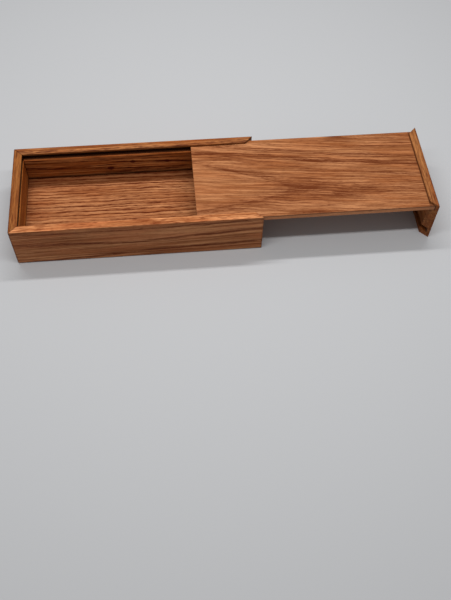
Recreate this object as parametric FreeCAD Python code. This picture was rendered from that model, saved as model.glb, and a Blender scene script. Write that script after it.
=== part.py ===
import FreeCAD, Part
import math
import os

# Sliding-lid oak box, drawn in millimetres with its lid pulled most of the way out.
# The origin is on the table, under the middle of the box and its drawn-out lid.
# +X is the way the lid slides out, +Y is the far long side and +Z is up.

# The box as it measures with the lid pushed home
box_length = 240.0
box_width = 107.0
box_height = 47.6
wall_thickness = 8.0

# Lid and its groove, which runs round the inside just under the top of all four walls
lid_lip = 2.2  # wood left standing over the groove
lid_thickness = 5.5
lid_play = 0.15  # free height over the lid and under it
lid_side_gap = 0.4  # from each long edge of the lid to the bottom of its groove
lid_tongue = 1.2  # how far the closed lid reaches into the groove of the fixed end wall
lid_opening = 169.8  # how far the lid is pulled out from closed

# Bottom board and its groove
bottom_lip = 5.2  # wood left under the groove
bottom_thickness = 5.5
bottom_play = 0.9  # free height over the bottom board
bottom_edge_gap = 0.6  # from the board's edges to the bottom of the groove, for the wood to swell

groove_skin = 3.2  # wood left behind both grooves

# Sanded edges
corner_radius = 1.5  # upright corners of the box
top_edge_radius = 0.8
foot_edge_radius = 1.8
inner_edge_radius = 0.4
board_edge_radius = 0.4  # long edges of the lid and the bottom board

# Places that follow from the sizes
left_x = -(box_length + lid_opening) / 2
front_y = -box_width / 2
bottom_z = bottom_lip
lid_z = box_height - lid_lip - lid_play - lid_thickness


def point(x, y, z=0.0):
    return FreeCAD.Vector(x, y, z)


def rounded_outline(corners):
    """Closed wire through corners given as (point, radius). Each corner gets a tangent arc of its radius."""
    stretches = []
    for index, (corner, radius) in enumerate(corners):
        to_last = (corners[index - 1][0] - corner).normalize()
        to_next = (corners[(index + 1) % len(corners)][0] - corner).normalize()
        half_angle = to_last.getAngle(to_next) / 2
        if radius <= 0:
            stretches.append((corner, None, corner))
            continue
        run_off = radius / math.tan(half_angle)
        inward = (to_last + to_next).normalize()
        middle = corner + inward * (radius / math.sin(half_angle) - radius)
        stretches.append((corner + to_last * run_off, middle, corner + to_next * run_off))
    edges = []
    for index, (start, middle, end) in enumerate(stretches):
        if middle is not None:
            edges.append(Part.Arc(start, middle, end).toShape())
        edges.append(Part.LineSegment(end, stretches[(index + 1) % len(stretches)][0]).toShape())
    return Part.Wire(edges)


def wall_section(lid_groove, bottom_groove):
    """Upright cross-section shared by all four walls: outer face at y = 0, inner face at y = wall_thickness.
    Each groove is given as (lower height, upper height)."""
    corners = [
        (point(0, 0, 0), foot_edge_radius),
        (point(0, wall_thickness, 0), inner_edge_radius),
    ]
    for low, high in (bottom_groove, lid_groove):
        corners += [
            (point(0, wall_thickness, low), 0),
            (point(0, groove_skin, low), 0),
            (point(0, groove_skin, high), 0),
            (point(0, wall_thickness, high), 0),
        ]
    corners += [
        (point(0, wall_thickness, box_height), inner_edge_radius),
        (point(0, 0, box_height), top_edge_radius),
    ]
    return rounded_outline(corners)


def mitred_plan(run):
    """Plan of a wall of the given outer length: both ends mitred at 45 degrees, outer corners rounded."""
    radius = corner_radius
    on_mitre = radius * (1 - math.sqrt(0.5))  # where the rounded corner crosses the mitre
    eighth = math.radians(22.5)
    near_x = radius * (1 - math.sin(eighth))
    near_y = radius * (1 - math.cos(eighth))
    edges = [
        Part.LineSegment(point(radius, 0), point(run - radius, 0)).toShape(),
        Part.Arc(
            point(run - radius, 0), point(run - near_x, near_y), point(run - on_mitre, on_mitre)
        ).toShape(),
        Part.LineSegment(
            point(run - on_mitre, on_mitre), point(run - wall_thickness, wall_thickness)
        ).toShape(),
        Part.LineSegment(
            point(run - wall_thickness, wall_thickness), point(wall_thickness, wall_thickness)
        ).toShape(),
        Part.LineSegment(point(wall_thickness, wall_thickness), point(on_mitre, on_mitre)).toShape(),
        Part.Arc(point(on_mitre, on_mitre), point(near_x, near_y), point(radius, 0)).toShape(),
    ]
    return Part.Wire(edges)


def mitred_wall(run, lid_groove, bottom_groove):
    """One wall along +X from the origin, with its outer face at y = 0."""
    moulding = Part.Face(wall_section(lid_groove, bottom_groove)).extrude(point(run, 0, 0))
    mitres = Part.Face(mitred_plan(run)).extrude(point(0, 0, box_height))
    return moulding.common(mitres)


def placed(shape, turn, x, y, z=0.0):
    """The shape turned about Z by the given degrees, then moved."""
    shape.Placement = FreeCAD.Placement(point(x, y, z), FreeCAD.Rotation(point(0, 0, 1), turn))
    return shape


def board(length, width, thickness):
    """Flat board with its lowest corner at the origin. Its long edges are eased and its ends are cut square."""
    corners = [
        (point(0, 0, 0), board_edge_radius),
        (point(0, width, 0), board_edge_radius),
        (point(0, width, thickness), board_edge_radius),
        (point(0, 0, thickness), board_edge_radius),
    ]
    return Part.Face(rounded_outline(corners)).extrude(point(length, 0, 0))


# Grooves of the three fixed walls: the bottom board stands on its groove and the lid runs free in its own
fixed_lid_groove = (lid_z - lid_play, lid_z + lid_thickness + lid_play)
fixed_bottom_groove = (bottom_z, bottom_z + bottom_thickness + bottom_play)

# Grooves of the end wall that travels with the lid: tight on the lid, and free to close over the bottom board
moving_lid_groove = (lid_z, lid_z + lid_thickness)
moving_bottom_groove = (bottom_z - lid_play, bottom_z + bottom_thickness + bottom_play)


def front_wall():
    wall = mitred_wall(box_length, fixed_lid_groove, fixed_bottom_groove)
    return placed(wall, 0, left_x, front_y)


def back_wall():
    wall = mitred_wall(box_length, fixed_lid_groove, fixed_bottom_groove)
    return placed(wall, 180, left_x + box_length, front_y + box_width)


def end_wall():
    wall = mitred_wall(box_width, fixed_lid_groove, fixed_bottom_groove)
    return placed(wall, -90, left_x, front_y + box_width)


def lid_end_wall():
    wall = mitred_wall(box_width, moving_lid_groove, moving_bottom_groove)
    return placed(wall, 90, left_x + box_length + lid_opening, front_y)


def bottom_panel():
    inset = groove_skin + bottom_edge_gap
    panel = board(box_length - 2 * inset, box_width - 2 * inset, bottom_thickness)
    return placed(panel, 0, left_x + inset, front_y + inset, bottom_z)


def lid_panel():
    side_inset = groove_skin + lid_side_gap
    near_end = wall_thickness - lid_tongue
    far_end = box_length - groove_skin
    panel = board(far_end - near_end, box_width - 2 * side_inset, lid_thickness)
    return placed(panel, 0, left_x + near_end + lid_opening, front_y + side_inset, lid_z)


pieces = {
    "front_wall": front_wall,
    "back_wall": back_wall,
    "end_wall": end_wall,
    "bottom_panel": bottom_panel,
    "lid_panel": lid_panel,
    "lid_end_wall": lid_end_wall,
}

os.makedirs("parts", exist_ok=True)
for name, make in pieces.items():
    solid = make()
    solid.exportStep(f"parts/{name}.step")
    box = solid.BoundBox
    print(
        f"{name}: {len(solid.Solids)} solid, {solid.Volume / 1000:.1f} cm3,"
        f" x {box.XMin:.2f} to {box.XMax:.2f}, y {box.YMin:.2f} to {box.YMax:.2f},"
        f" z {box.ZMin:.2f} to {box.ZMax:.2f}, valid {solid.isValid()}"
    )
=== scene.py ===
import math

import bpy
from mathutils import Matrix, Vector

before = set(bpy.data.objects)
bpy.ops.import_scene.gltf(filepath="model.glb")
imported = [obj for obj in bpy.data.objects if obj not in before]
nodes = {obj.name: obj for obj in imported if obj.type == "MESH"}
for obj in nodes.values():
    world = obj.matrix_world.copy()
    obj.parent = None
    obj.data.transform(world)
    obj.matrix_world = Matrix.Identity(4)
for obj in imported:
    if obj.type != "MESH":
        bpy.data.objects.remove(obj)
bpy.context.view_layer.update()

mm = 0.001


# Node maths: a Link is one output socket, and arithmetic on it adds Math nodes

class Link:
    def __init__(self, sheet, socket):
        self.sheet = sheet
        self.socket = socket

    def calc(self, operation, *others):
        return self.sheet.math(operation, self, *others)

    def __add__(self, other):
        return self.calc("ADD", other)

    def __radd__(self, other):
        return self.sheet.math("ADD", other, self)

    def __sub__(self, other):
        return self.calc("SUBTRACT", other)

    def __rsub__(self, other):
        return self.sheet.math("SUBTRACT", other, self)

    def __mul__(self, other):
        return self.calc("MULTIPLY", other)

    def __rmul__(self, other):
        return self.sheet.math("MULTIPLY", other, self)

    def __truediv__(self, other):
        return self.calc("DIVIDE", other)

    def __rtruediv__(self, other):
        return self.sheet.math("DIVIDE", other, self)

    def __pow__(self, other):
        return self.calc("POWER", other)

    def __rpow__(self, other):
        return self.sheet.math("POWER", other, self)

    def __abs__(self):
        return self.calc("ABSOLUTE")

    # 0 at low, 1 at high and a smooth step between; low may be the larger
    def ramp(self, low, high, fromValue=0.0, toValue=1.0):
        return self.sheet.node(
            "ShaderNodeMapRange", {"interpolation_type": "SMOOTHSTEP", "clamp": True},
            {"Value": self, "From Min": low, "From Max": high, "To Min": fromValue, "To Max": toValue},
        )

    # 1 at the centre, falling smoothly to 0 at halfWidth on both sides
    def bump(self, centre, halfWidth):
        return abs(self - centre).ramp(halfWidth, 0.0)


# Places of the Mix node's sockets for colours, because its other sockets have the same names
mixSockets = {"factor": 0, "first": 6, "second": 7, "result": 2}


# The node tree of one material
class Sheet:
    def __init__(self, name):
        self.material = bpy.data.materials.new(name)
        self.material.use_nodes = True
        self.tree = self.material.node_tree
        self.tree.nodes.clear()

    def node(self, kind, settings, inputs, output=0):
        made = self.tree.nodes.new(kind)
        for key, value in settings.items():
            setattr(made, key, value)
        for key, value in inputs.items():
            if isinstance(value, Link):
                self.tree.links.new(value.socket, made.inputs[key])
            else:
                made.inputs[key].default_value = value
        return Link(self, made.outputs[output]) if made.outputs else None

    def math(self, operation, *values):
        return self.node("ShaderNodeMath", {"operation": operation}, dict(enumerate(values)))

    # The three Object coordinates in millimetres
    def places(self):
        metres = self.node("ShaderNodeTexCoord", {}, {}, output="Object")
        parts = [self.node("ShaderNodeSeparateXYZ", {}, {"Vector": metres}, output=axis) for axis in "XYZ"]
        return dict(zip("xyz", [part / mm for part in parts]))

    def noise(self, x, y, z, detail=2.0, roughness=0.5):
        place = self.node("ShaderNodeCombineXYZ", {}, {"X": x, "Y": y, "Z": z})
        return self.node(
            "ShaderNodeTexNoise", {"noise_dimensions": "3D"},
            {"Vector": place, "Scale": 1.0, "Detail": detail, "Roughness": roughness},
        )

    def noiseLine(self, w, detail=1.0):
        return self.node(
            "ShaderNodeTexNoise", {"noise_dimensions": "1D"}, {"W": w, "Scale": 1.0, "Detail": detail},
        )

    # Colour between first and second
    def mix(self, factor, first, second, blend="MIX"):
        return self.node(
            "ShaderNodeMix", {"data_type": "RGBA", "blend_type": blend, "clamp_factor": True},
            {mixSockets["factor"]: factor, mixSockets["first"]: first, mixSockets["second"]: second},
            output=mixSockets["result"],
        )


# An sRGB colour given in 0 to 255, as the linear colour that the shader takes, by the sRGB curve
def colour(red, green, blue):
    linear = []
    for part in (red, green, blue):
        part = part / 255
        linear.append(part / 12.92 if part <= 0.04045 else ((part + 0.055) / 1.055) ** 2.4)
    return (*linear, 1.0)


# Joinery of the walls and its painted shade, in millimetres. The grooves go from their lower to their
# upper side. Any other pair says where a mark starts and where it's full: depths are from the inner face,
# the lip's foot and the groove's side are measured from the groove, and outlineTop, lipTop and rim from
# the top of the wall.
joinery = {
    "lidGroove": (39.6, 45.4),
    "bottomGroove": (5.2, 11.6),
    "wallTop": 47.6,
    "faceDepth": (0.5, 0.15),
    "outerDepth": (5.5, 7.5),
    # Dark brown for painted shade in grooves, gaps and corners, and for the mitres' glue lines
    "shadeAndJointColour": colour(50, 18, 4),
    "grooveDarkness": 0.85,
    "grooveMouth": (0.05, 0.3),
    "grooveFloor": (5.3, 5.0),
    "grooveSide": (0.2, 0.05),
    "lipDarkness": 0.5,
    "lipFoot": (-0.3, 0.0),
    "lipTop": (0.0, -0.5),
    "cornerShadeHeight": 4.5,
    "glueLine": (0.675, 0.225),
    "outlineDarkness": 0.5,
    "outlineDepth": (7.1, 7.8),
    "outlineTop": (-0.9, -0.2),
    "rim": (-0.5, -0.1),
    "arrisBelow": 0.8,
    "arrisHalfWidth": 2.0,
}


# The marks of a wall: how dark each point is, how much painted highlight and shade it gets, whether it's
# on the rim, and how near it is to the outer face. Inward is the depth under the inner face. The grooves,
# the lip over the lid groove and the corner over the bottom board are darkened with painted shade, and the
# outer arris of the rim and the mitres are dark too, where |x + slope * y - offset| grows with the distance
# from a mitre's plane. The arris under the lid groove gets a painted highlight, innerShade scales the inner
# face as painted shade and light, and rimGain makes the rim lighter or darker.
def wallMarks(places, wall):
    z = places["z"]
    axis, innerFace, sign = wall["inner"]
    inward = (places[axis] - innerFace) * sign
    onFace = inward.ramp(*joinery["faceDepth"])
    fromTop = z - joinery["wallTop"]
    rim = fromTop.ramp(*joinery["rim"])
    lidLow, lidHigh = joinery["lidGroove"]
    boardTop = joinery["bottomGroove"][1]

    # Painted shade on the lip's inner face over the lid groove
    lip = onFace * (z - lidHigh).ramp(*joinery["lipFoot"]) * fromTop.ramp(*joinery["lipTop"])
    # Painted shade on the inner face just over the bottom board's groove, in the corner
    cornerShade = onFace * z.ramp(boardTop + joinery["cornerShadeHeight"], boardTop)
    outline = inward.ramp(*joinery["outlineDepth"]) * fromTop.ramp(*joinery["outlineTop"])
    dark = lip * joinery["lipDarkness"] + cornerShade * wall["cornerShade"] + outline * joinery["outlineDarkness"]
    inGroove = inward.ramp(*joinery["grooveMouth"]) * inward.ramp(*joinery["grooveFloor"])
    side = joinery["grooveSide"]
    # Painted shade inside both grooves
    for low, high in (joinery["lidGroove"], joinery["bottomGroove"]):
        groove = (low - z).ramp(*side) * (z - high).ramp(*side) * inGroove
        dark = groove * joinery["grooveDarkness"] + dark
    for slope, offset, strength in wall["mitres"]:
        distance = abs(places["x"] + places["y"] * slope - offset)
        dark = distance.ramp(*joinery["glueLine"]) * strength + dark

    # Painted highlight on the arris just under the lid groove
    arris = onFace * z.bump(lidLow - joinery["arrisBelow"], joinery["arrisHalfWidth"]) * wall["arrisGain"]
    highlightAndShade = rim * wall["rimGain"] + arris + onFace * (wall["innerShade"] - 1.0)
    return dark, highlightAndShade, rim, inward.ramp(*joinery["outerDepth"])


# What the grain of all boards shares. Lengths and widths are in millimetres, a pair says where a value
# starts and where it's full, and shifts keep the noises apart.
grain = {
    "swayWidth": 32.0,
    "rippleWidth": 6.0,
    "rippleShift": 3.0,
    "driftWidth": 9.0,  # years grow wider and narrower over this distance
    "drift": 1.7,
    "yearStart": 0.08,  # share of a year in which its early wood comes up
    "yearStep": 0.73,  # from one year's weight to the next along its noise
    "yearWeight": (0.35, 0.65),
    "plainHeart": (40.0, 47.0),  # no years are seen nearer to the heart line
    "boldRise": (-3.5, 1.0),
    "boldEdge": 0.3,
    "lateWood": (0.5, 0.95),
    "bandFade": 15.0,
    "bandCore": 0.2,  # share of a band's half width that is fully dark
    "fibreRoughness": 0.6,
    "broadWidth": 12.0,
    "broadShift": 9.0,
    "dashes": (0.42, 0.62),
    "dashPeak": 1.2,
    "poreLength": 5.0,
    "poreWidth": 5.0 / 12.0,
    "poreShift": 5.0,
    "pores": (0.5, 0.64),
    "earlyPores": 0.3,
    "warmLength": 60.0,
    "warmWidth": 9.0,
    "warmShift": 7.0,
    "warmth": (0.4, 0.62),
    "calmTone": 0.3,
    "rimDashLength": 9.0,
    "rimDashWidth": 1.25,
    "rimDashes": (0.48, 0.66),
    "spotEdge": (1.2, 0.5),
    "spotDarkness": 1.3,
    "bumpStrength": 0.4,
    "bumpDistance": 0.0003,
    "dashRelief": 0.4,
    "earlyRelief": 0.6,
    "streakRelief": 0.3,
    "darkRoughness": 0.15,
    "streakRoughness": 0.1,
    "refraction": 1.45,
    "specular": 0.2,
}


# Distance from the log's heart line: the root of aside * aside + below * below. The line lies at one
# depth, or comes down to it from a rise that falls off as an exponential along the board.
def heartDistance(board, line, along, depth):
    heartDeep = board["heartDeep"]
    if "heartRise" in board:
        heartDeep = math.e ** (along / -board["riseLength"]) * board["heartRise"] + heartDeep
    aside = line - board["heartAcross"]
    below = depth - heartDeep
    return (aside * aside + below * below) ** 0.5


# The place within a year, from 0 to 1, and the dark early wood. The count of years is radius / ring width
# plus a slow noise. Early wood is darkest at its inner edge and fades outwards, each year has a weight of
# its own, and bold years stand at given distances from the heart line.
def yearWood(sheet, board, radius):
    seed = board["seed"]
    drift = sheet.noiseLine(radius / grain["driftWidth"] + seed) * grain["drift"]
    year = radius / board["ringWidth"] + drift
    phase = year.calc("FRACT")
    early = phase.ramp(board["yearFade"], grain["yearStart"]) * phase.ramp(0.0, grain["yearStart"])
    weight = sheet.noiseLine(year.calc("FLOOR") * grain["yearStep"] + seed, detail=0.0)
    weight = weight.ramp(*grain["yearWeight"], board["weakYear"], 1.0)
    early = early * weight * radius.ramp(*grain["plainHeart"]) * board["yearDepth"]
    for start, width, strength in board["boldYears"]:
        outside = radius - start
        bold = outside.ramp(*grain["boldRise"]) * outside.ramp(width, grain["boldEdge"])
        early = bold * strength + early
    return phase, early


# A band's middle goes in smooth steps from place to place of its path, and it fades out past both ends
def addBands(board, along, across, dark):
    fade = grain["bandFade"]
    for path, halfWidth, strength in board["bands"]:
        middle = path[0][1]
        for (start, startAcross), (end, endAcross) in zip(path, path[1:]):
            middle = along.ramp(start, end) * (endAcross - startAcross) + middle
        reach = along.ramp(path[0][0] - fade, path[0][0]) * along.ramp(path[-1][0] + fade, path[-1][0])
        band = abs(across - middle).ramp(halfWidth, halfWidth * grain["bandCore"])
        dark = band * reach * strength + dark
    return dark


# A spot is dark inside an ellipsoid: the root of the sum of the squares of (place - centre) / half size
def addSpots(board, where, dark):
    for centre, size in board["spots"]:
        u, v, w = [(place - middle) / half for place, middle, half in zip(where, centre, size)]
        distance = (u * u + v * v + w * w) ** 0.5
        dark = distance.ramp(*grain["spotEdge"]) * grain["spotDarkness"] + dark
    return dark


# The sawn long edges of the lid have a colour of their own, and a dark line of painted shade runs along
# the arris over them
def colourEdges(sheet, edge, across, depth, wood):
    toEdge = edge["place"] - abs(across)
    wood = sheet.mix(toEdge.ramp(*edge["skin"]) * edge["strength"], wood, edge["colour"])
    line = toEdge.ramp(*edge["lineReach"]) * depth.bump(edge["lineHeight"], edge["lineHalfWidth"])
    return sheet.mix(line * edge["lineDarkness"], wood, joinery["shadeAndJointColour"])


# Solid oak, so that every face and cut end agrees. The years are tubes round the log's heart line, which
# leans across the board: radius = distance from that line, swayed by two slow noises. Streaks, broad
# tones, dashes, pores and warm patches are noises stretched along the grain, and dashes break up the
# years. The colour goes from low to light by tone, then to warm, then to dark, and the joinery's marks
# with their painted highlight and shade and the painted shade at ends, corners and gaps come over it.
def oak(name, board):
    sheet = Sheet(name)
    places = sheet.places()
    along, across, depth = (places[axis] for axis in board["axes"])
    seed = board["seed"]

    width = grain["swayWidth"]
    sway = sheet.noise(along / board["swayLength"] + seed, across / width, depth / width, detail=1.0)
    sway = (sway - 0.5) * board["sway"]
    width = grain["rippleWidth"]
    aside = across / width + grain["rippleShift"]
    ripple = sheet.noise(along / board["rippleLength"] + seed, aside, depth / width)
    ripple = (ripple - 0.5) * board["ripple"]
    line = across - along * board["leanAcross"] + sway + ripple
    radius = heartDistance(board, line, along, depth)
    phase, early = yearWood(sheet, board, radius)
    early = addBands(board, along, across + ripple, early)

    # Noise stretched along the grain: its length runs along the board and its width across and into it
    def fibres(length, width, shift=0.0, detail=2.0, roughness=0.5):
        return sheet.noise(along / length + seed, line / width, depth / width + shift, detail, roughness)

    rough = grain["fibreRoughness"]
    streak = fibres(board["streakLength"], board["streakWidth"], detail=3.0, roughness=rough)
    broad = fibres(board["broadLength"], grain["broadWidth"], grain["broadShift"])
    dash = fibres(board["dashLength"], board["dashWidth"], roughness=rough).ramp(*grain["dashes"])
    pore = fibres(grain["poreLength"], grain["poreWidth"], grain["poreShift"], detail=1.0)
    pore = pore.ramp(*grain["pores"])
    warmth = fibres(grain["warmLength"], grain["warmWidth"], grain["warmShift"]).ramp(*grain["warmth"])

    unbroken = grain["dashPeak"] - board["broken"]
    dark = early * (dash * board["broken"] + unbroken) + dash * board["dashDepth"]
    dark = pore * (early * grain["earlyPores"] + board["poreDepth"]) + dark
    tone = (streak - 0.5) * board["streakGain"] + (broad - 0.5) * board["broadGain"] + 0.5
    tone = phase.ramp(*grain["lateWood"]) * board["lateGain"] + tone
    if "inner" in board:
        marks, highlightAndShade, rim, outer = wallMarks(places, board)
        width = grain["rimDashWidth"]
        rimDash = sheet.noise(
            along / grain["rimDashLength"] + seed, across / width, depth / width, detail=1.0,
        )
        rimDash = rimDash.ramp(*grain["rimDashes"])
        calm = outer * board["outerCalm"]
        dark = dark * (1.0 - calm) + rimDash * rim * board["rimDashes"]
        tone = calm * grain["calmTone"] + tone
    dark = addSpots(board, (along, across, depth), dark)

    light = sheet.mix(tone, board["low"], board["light"])
    light = sheet.mix(warmth * board["warmDepth"], light, board["warm"])
    wood = sheet.mix(dark, light, board["dark"])
    if "inner" in board:
        # Painted highlight and shade, then the painted shade of the grooves, lip and corner and the glue
        # lines
        wood = sheet.mix(1.0, wood, highlightAndShade + 1.0, "MULTIPLY")
        wood = sheet.mix(marks, wood, joinery["shadeAndJointColour"])
    # Painted shade at the piece's ends, corners and gaps
    for axis, start, end, strength, shadeColour in board["paintedShade"]:
        wood = sheet.mix(places[axis].ramp(start, end) * strength, wood, shadeColour)
    if "edge" in board:
        wood = colourEdges(sheet, board["edge"], across, depth, wood)

    hollow = dash * grain["dashRelief"] + pore
    hollow = hollow * (early * grain["earlyRelief"] + (1.0 - grain["earlyRelief"]))
    relief = streak * grain["streakRelief"] - hollow
    normal = sheet.node("ShaderNodeBump", {}, {
        "Strength": grain["bumpStrength"], "Distance": grain["bumpDistance"], "Height": relief,
    })
    roughness = dark * grain["darkRoughness"] + streak * grain["streakRoughness"] + board["roughness"]
    shader = sheet.node("ShaderNodeBsdfPrincipled", {}, {
        "Base Color": wood, "Roughness": roughness, "Normal": normal, "IOR": grain["refraction"],
        "Specular IOR Level": grain["specular"],
    })
    sheet.node("ShaderNodeOutputMaterial", {}, {"Surface": shader})
    return sheet.material
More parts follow.
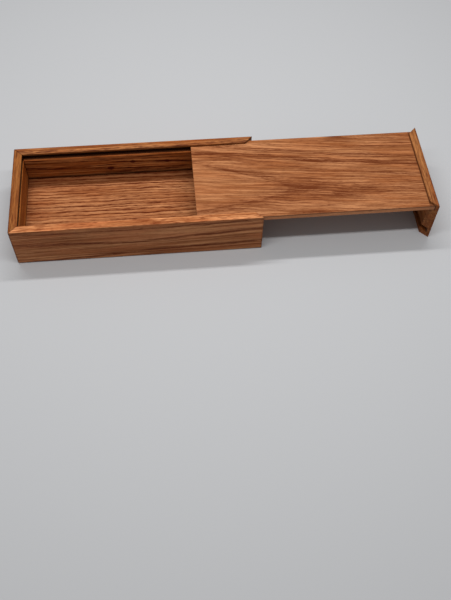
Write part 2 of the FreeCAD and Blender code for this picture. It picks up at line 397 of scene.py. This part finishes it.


# The axes are the ways along the grain, across it and into the board. A bold year is its distance from the
# heart line, its width and its strength. A band is a path of places along and across, a half width and a
# strength. A spot is a pin knot or a chip: its place along, across and into the board, and its half sizes.
# A painted shade is an axis, where it starts, where it's full, its strength and its colour: shade painted
# at a piece's ends, corners and gaps. A mitre is a slope, an offset and a strength. Inner is the axis and
# the place of the inner face, and which way is into the wall. Edge says where the lid's long edges are,
# what colour they have and where the dark line of painted shade over them lies.
boards = {
    "lid_panel": {
        "axes": "xyz", "seed": 3.0,
        "heartAcross": -11.1, "leanAcross": -0.1, "heartDeep": -6.75, "heartRise": 10.55, "riseLength": 72.0,
        "swayLength": 70.0, "sway": 4.0, "rippleLength": 20.0, "ripple": 1.6,
        "ringWidth": 2.9, "yearDepth": 0.38, "yearFade": 0.9, "weakYear": 0.3, "lateGain": 0.0,
        "boldYears": ((48.0, 6.0, 0.47), (56.0, 3.0, 0.33), (69.5, 3.0, 0.38)),
        "bands": (
            (((-19.0, 36.3), (11.0, 31.8), (46.0, 28.8), (60.0, 24.7), (104.0, 16.3), (130.0, 14.7),
              (171.0, 9.7), (196.0, 6.3)), 3.8, 0.7),
            (((100.0, 17.0), (123.0, 15.1), (146.0, 12.7)), 2.6, 0.35),
            (((54.0, 25.5), (88.0, 23.0), (121.0, 18.8)), 1.2, 0.35),
            (((120.0, 47.0), (196.0, 44.0)), 5.0, 0.22),
            (((46.0, 43.8), (71.0, 39.7), (113.0, 35.5), (154.0, 32.2), (194.0, 31.3)), 2.2, 0.42),
            (((79.0, -11.2), (121.0, -19.0), (194.0, -20.8)), 10.0, 0.16),
        ),
        "dashLength": 34.0, "dashWidth": 1.0, "dashDepth": 0.38, "broken": 0.65, "poreDepth": 0.24,
        "streakLength": 70.0, "streakWidth": 1.8, "streakGain": 4.4, "broadLength": 90.0, "broadGain": 2.4,
        "light": colour(208, 141, 92), "low": colour(156, 94, 49), "warm": colour(180, 102, 50),
        "dark": colour(108, 49, 12), "warmDepth": 0.35, "roughness": 0.5,
        "spots": (((138.0, -49.9, 44.0), (2.4, 0.8, 1.5)),),
        # Painted shade in the gap under the lip where the lid meets its end wall
        "paintedShade": (("x", 196.1, 196.6, 0.5, joinery["shadeAndJointColour"]),),
        "edge": {
            "place": 49.9, "skin": (0.2, 0.05), "strength": 0.6, "colour": colour(192, 130, 90),
            "lineHeight": 44.5, "lineHalfWidth": 1.0, "lineReach": (1.2, 0.3), "lineDarkness": 0.7,
        },
    },
    "bottom_panel": {
        "axes": "xyz", "seed": 11.0,
        "heartAcross": -160.0, "leanAcross": -0.015, "heartDeep": -60.0,
        "swayLength": 70.0, "sway": 3.0, "rippleLength": 18.0, "ripple": 3.2,
        "ringWidth": 3.7, "yearDepth": 0.93, "yearFade": 0.6, "weakYear": 0.5, "lateGain": 0.35,
        "boldYears": (), "bands": (),
        "dashLength": 15.0, "dashWidth": 1.1, "dashDepth": 0.34, "broken": 0.55, "poreDepth": 0.24,
        "streakLength": 90.0, "streakWidth": 1.5, "streakGain": 4.5, "broadLength": 90.0, "broadGain": 1.6,
        "light": colour(208, 140, 90), "low": colour(158, 92, 46), "warm": colour(176, 100, 50),
        "dark": colour(98, 36, 0), "warmDepth": 0.4, "roughness": 0.52,
        "spots": (),
        # Painted shade: the strip in the shadow of the back wall's lip, and the corners at the back and end
        # walls
        "paintedShade": (
            ("y", 27.0, 39.0, 0.42, colour(92, 30, 0)),
            ("y", 43.8, 45.2, 0.3, colour(92, 30, 0)),
            ("x", -190.0, -197.0, 0.3, colour(92, 30, 0)),
        ),
    },
    "front_wall": {
        "axes": "xzy", "seed": 21.0,
        "heartAcross": -90.0, "leanAcross": 0.02, "heartDeep": -20.0,
        "swayLength": 90.0, "sway": 7.0, "rippleLength": 22.0, "ripple": 1.2,
        "ringWidth": 3.6, "yearDepth": 0.3, "yearFade": 0.9, "weakYear": 0.2, "lateGain": 0.0,
        "boldYears": (),
        "bands": (
            (((-204.9, 28.3), (-95.0, 23.3), (33.0, 31.7)), 2.8, 0.5),
            (((-190.0, 0.0), (-150.0, 2.5), (-100.0, 6.7), (-62.0, 10.8), (35.0, 13.3)), 2.4, 0.5),
            (((-204.9, 44.0), (-120.0, 42.0), (-60.0, 43.0), (35.0, 44.5)), 2.8, 0.4),
        ),
        "dashLength": 30.0, "dashWidth": 1.1, "dashDepth": 0.28, "broken": 0.45, "poreDepth": 0.2,
        "streakLength": 110.0, "streakWidth": 1.8, "streakGain": 4.0, "broadLength": 130.0, "broadGain": 3.2,
        "light": colour(195, 132, 85), "low": colour(142, 83, 42), "warm": colour(176, 99, 56),
        "dark": colour(94, 38, 4), "warmDepth": 0.4, "roughness": 0.5,
        "spots": (),
        # Painted shade on the rounded ends of the wall
        "paintedShade": (
            ("x", -202.6, -204.6, 0.45, joinery["shadeAndJointColour"]),
            ("x", 32.6, 34.6, 0.3, joinery["shadeAndJointColour"]),
        ),
        "inner": ("y", -45.5, -1.0), "innerShade": 0.95, "outerCalm": 0.0, "cornerShade": 0.5,
        "rimGain": 0.66, "rimDashes": 0.42, "arrisGain": 0.5,
        "mitres": ((-1.0, -151.4, 0.6), (1.0, -18.4, 0.35)),
    },
    "back_wall": {
        "axes": "xzy", "seed": 31.0,
        "heartAcross": -90.0, "leanAcross": 0.0, "heartDeep": -10.0,
        "swayLength": 90.0, "sway": 4.0, "rippleLength": 20.0, "ripple": 1.4,
        "ringWidth": 3.6, "yearDepth": 0.5, "yearFade": 0.8, "weakYear": 0.3, "lateGain": 0.0,
        "boldYears": (),
        "bands": (
            (((-104.0, 30.4), (-88.0, 29.0), (-53.2, 27.4), (-20.0, 24.6)), 1.5, 0.6),
            (((-200.0, 25.4), (-140.0, 23.4), (-111.2, 21.0), (-80.0, 19.6)), 1.8, 0.6),
            (((-200.0, 36.6), (-140.0, 35.0), (-60.0, 35.2)), 1.1, 0.35),
            # Painted shadow of the lid: a broad dark band low on the wall towards the lid
            (((-110.0, 15.0), (-40.0, 18.0)), 6.0, 0.35),
        ),
        "dashLength": 22.0, "dashWidth": 1.2, "dashDepth": 0.36, "broken": 0.5, "poreDepth": 0.16,
        "streakLength": 110.0, "streakWidth": 1.6, "streakGain": 4.5, "broadLength": 110.0, "broadGain": 3.0,
        "light": colour(206, 136, 78), "low": colour(138, 72, 22), "warm": colour(168, 90, 34),
        "dark": colour(74, 18, 0), "warmDepth": 0.5, "roughness": 0.5,
        "spots": (
            ((-111.2, 21.0, 45.5), (3.4, 2.4, 2.0)),
            ((-88.2, 29.0, 45.5), (3.0, 2.1, 2.0)),
            ((-53.2, 27.4, 45.5), (2.6, 2.0, 2.0)),
        ),
        # Painted shade on the rounded end of the wall
        "paintedShade": (("x", 31.0, 34.4, 0.5, joinery["shadeAndJointColour"]),),
        "inner": ("y", 45.5, 1.0), "innerShade": 0.95, "outerCalm": 0.6, "cornerShade": 0.95,
        "rimGain": 0.08, "rimDashes": 0.2, "arrisGain": 0.8,
        "mitres": ((1.0, -151.4, 0.8), (-1.0, -18.4, 0.55)),
    },
    "end_wall": {
        "axes": "yzx", "seed": 41.0,
        "heartAcross": 30.0, "leanAcross": 0.04, "heartDeep": -330.0,
        "swayLength": 60.0, "sway": 3.0, "rippleLength": 20.0, "ripple": 0.8,
        "ringWidth": 2.4, "yearDepth": 0.25, "yearFade": 0.9, "weakYear": 0.4, "lateGain": 0.0,
        "boldYears": (), "bands": (),
        "dashLength": 30.0, "dashWidth": 1.2, "dashDepth": 0.3, "broken": 0.6, "poreDepth": 0.2,
        "streakLength": 65.0, "streakWidth": 1.5, "streakGain": 4.5, "broadLength": 90.0, "broadGain": 2.4,
        "light": colour(176, 110, 50), "low": colour(126, 65, 20), "warm": colour(146, 74, 20),
        "dark": colour(78, 26, 0), "warmDepth": 0.4, "roughness": 0.5,
        "spots": (), "paintedShade": (),
        "inner": ("x", -196.9, -1.0), "innerShade": 1.28, "outerCalm": 0.0, "cornerShade": 0.7,
        "rimGain": 0.0, "rimDashes": 0.0, "arrisGain": 1.4,
        "mitres": ((-1.0, -151.4, 0.6), (1.0, -151.4, 0.8)),
    },
    "lid_end_wall": {
        "axes": "yzx", "seed": 51.0,
        "heartAcross": 30.0, "leanAcross": 0.05, "heartDeep": 340.0,
        "swayLength": 60.0, "sway": 3.0, "rippleLength": 20.0, "ripple": 0.8,
        "ringWidth": 2.8, "yearDepth": 0.25, "yearFade": 0.9, "weakYear": 0.4, "lateGain": 0.0,
        "boldYears": (), "bands": (),
        "dashLength": 30.0, "dashWidth": 1.2, "dashDepth": 0.3, "broken": 0.6, "poreDepth": 0.2,
        "streakLength": 65.0, "streakWidth": 1.5, "streakGain": 4.5, "broadLength": 90.0, "broadGain": 2.4,
        "light": colour(190, 124, 68), "low": colour(142, 80, 34), "warm": colour(168, 90, 38),
        "dark": colour(84, 28, 0), "warmDepth": 0.5, "roughness": 0.5,
        "spots": (), "paintedShade": (),
        "inner": ("x", 196.9, 1.0), "innerShade": 0.9, "outerCalm": 0.0, "cornerShade": 0.3,
        "rimGain": -0.06, "rimDashes": 0.25, "arrisGain": 0.4,
        "mitres": ((1.0, 151.4, 0.35), (-1.0, 151.4, 0.35)),
    },
}

for name, board in boards.items():
    material = oak(name + "_oak", board)
    nodes[name].data.materials.clear()
    nodes[name].data.materials.append(material)
    print("oak on", name)


# Stage, in metres

stage = {
    "floorColour": colour(197, 198, 200),
    "floorRoughness": 0.8,
    "floorSpecular": 0.1,
    "floorSize": 12.0,
}


# A flat square on the ground, centred under the box
def makeFloor():
    sheet = Sheet("paleFloor")
    shader = sheet.node("ShaderNodeBsdfPrincipled", {}, {
        "Base Color": stage["floorColour"], "Roughness": stage["floorRoughness"],
        "Specular IOR Level": stage["floorSpecular"],
    })
    sheet.node("ShaderNodeOutputMaterial", {}, {"Surface": shader})
    half = stage["floorSize"] / 2
    corners = [(-half, -half, 0), (half, -half, 0), (half, half, 0), (-half, half, 0)]
    mesh = bpy.data.meshes.new("floor")
    mesh.from_pydata(corners, [], [(0, 1, 2, 3)])
    mesh.materials.append(sheet.material)
    floor = bpy.data.objects.new("floor", mesh)
    bpy.context.scene.collection.objects.link(floor)


# Two light bars hang along the box, one towards the front and one behind, and the sky fills the shadows.
# Sizes and places are in metres and powers in watts.
lights = {
    "barLength": 1.0,
    "barWidth": 0.055,
    "middleX": -0.017,
    "frontPlace": (-0.204, 0.78),  # y and height
    "backPlace": (0.294, 0.857),
    "frontPower": 3.06,
    "backPower": 4.61,
    "skyColour": (1.0, 1.0, 1.0, 1.0),
    "skyStrength": 0.256,
}


# A bar over the table, facing down
def makeBar(name, place, power):
    data = bpy.data.lights.new(name, "AREA")
    data.shape = "RECTANGLE"
    data.size = lights["barLength"]
    data.size_y = lights["barWidth"]
    data.energy = power
    lamp = bpy.data.objects.new(name, data)
    lamp.location = (lights["middleX"], *place)
    lamp.visible_camera = False
    bpy.context.scene.collection.objects.link(lamp)


# The same light from all sides
def makeSky():
    world = bpy.data.worlds.new("sky")
    world.use_nodes = True
    background = world.node_tree.nodes["Background"]
    background.inputs["Color"].default_value = lights["skyColour"]
    background.inputs["Strength"].default_value = lights["skyStrength"]
    bpy.context.scene.world = world


makeFloor()
makeBar("frontBar", lights["frontPlace"], lights["frontPower"])
makeBar("backBar", lights["backPlace"], lights["backPower"])
makeSky()
print("floor and lights")


# Camera at the photograph's angle: places in millimetres, the roll in degrees
view = {
    "place": (-52.8, -498.0, 604.3),
    "aim": (-6.7, -112.0, 0.0),
    "roll": 1.834,
    "lens": 45.25,
    "sensorWidth": 36.0,
}


# The camera looks from its place to its aim and is then rolled about that line
def makeCamera():
    data = bpy.data.cameras.new("camera")
    data.sensor_width = view["sensorWidth"]
    data.lens = view["lens"]
    camera = bpy.data.objects.new("camera", data)
    place = Vector(view["place"]) * mm
    back = (place - Vector(view["aim"]) * mm).normalized()
    turn = back.to_track_quat("Z", "Y").to_matrix()
    turn = turn @ Matrix.Rotation(math.radians(view["roll"]), 3, "Z")
    camera.matrix_world = Matrix.Translation(place) @ turn.to_4x4()
    bpy.context.scene.collection.objects.link(camera)
    bpy.context.scene.camera = camera


makeCamera()
bpy.context.scene.view_settings.view_transform = "Standard"
print("camera")
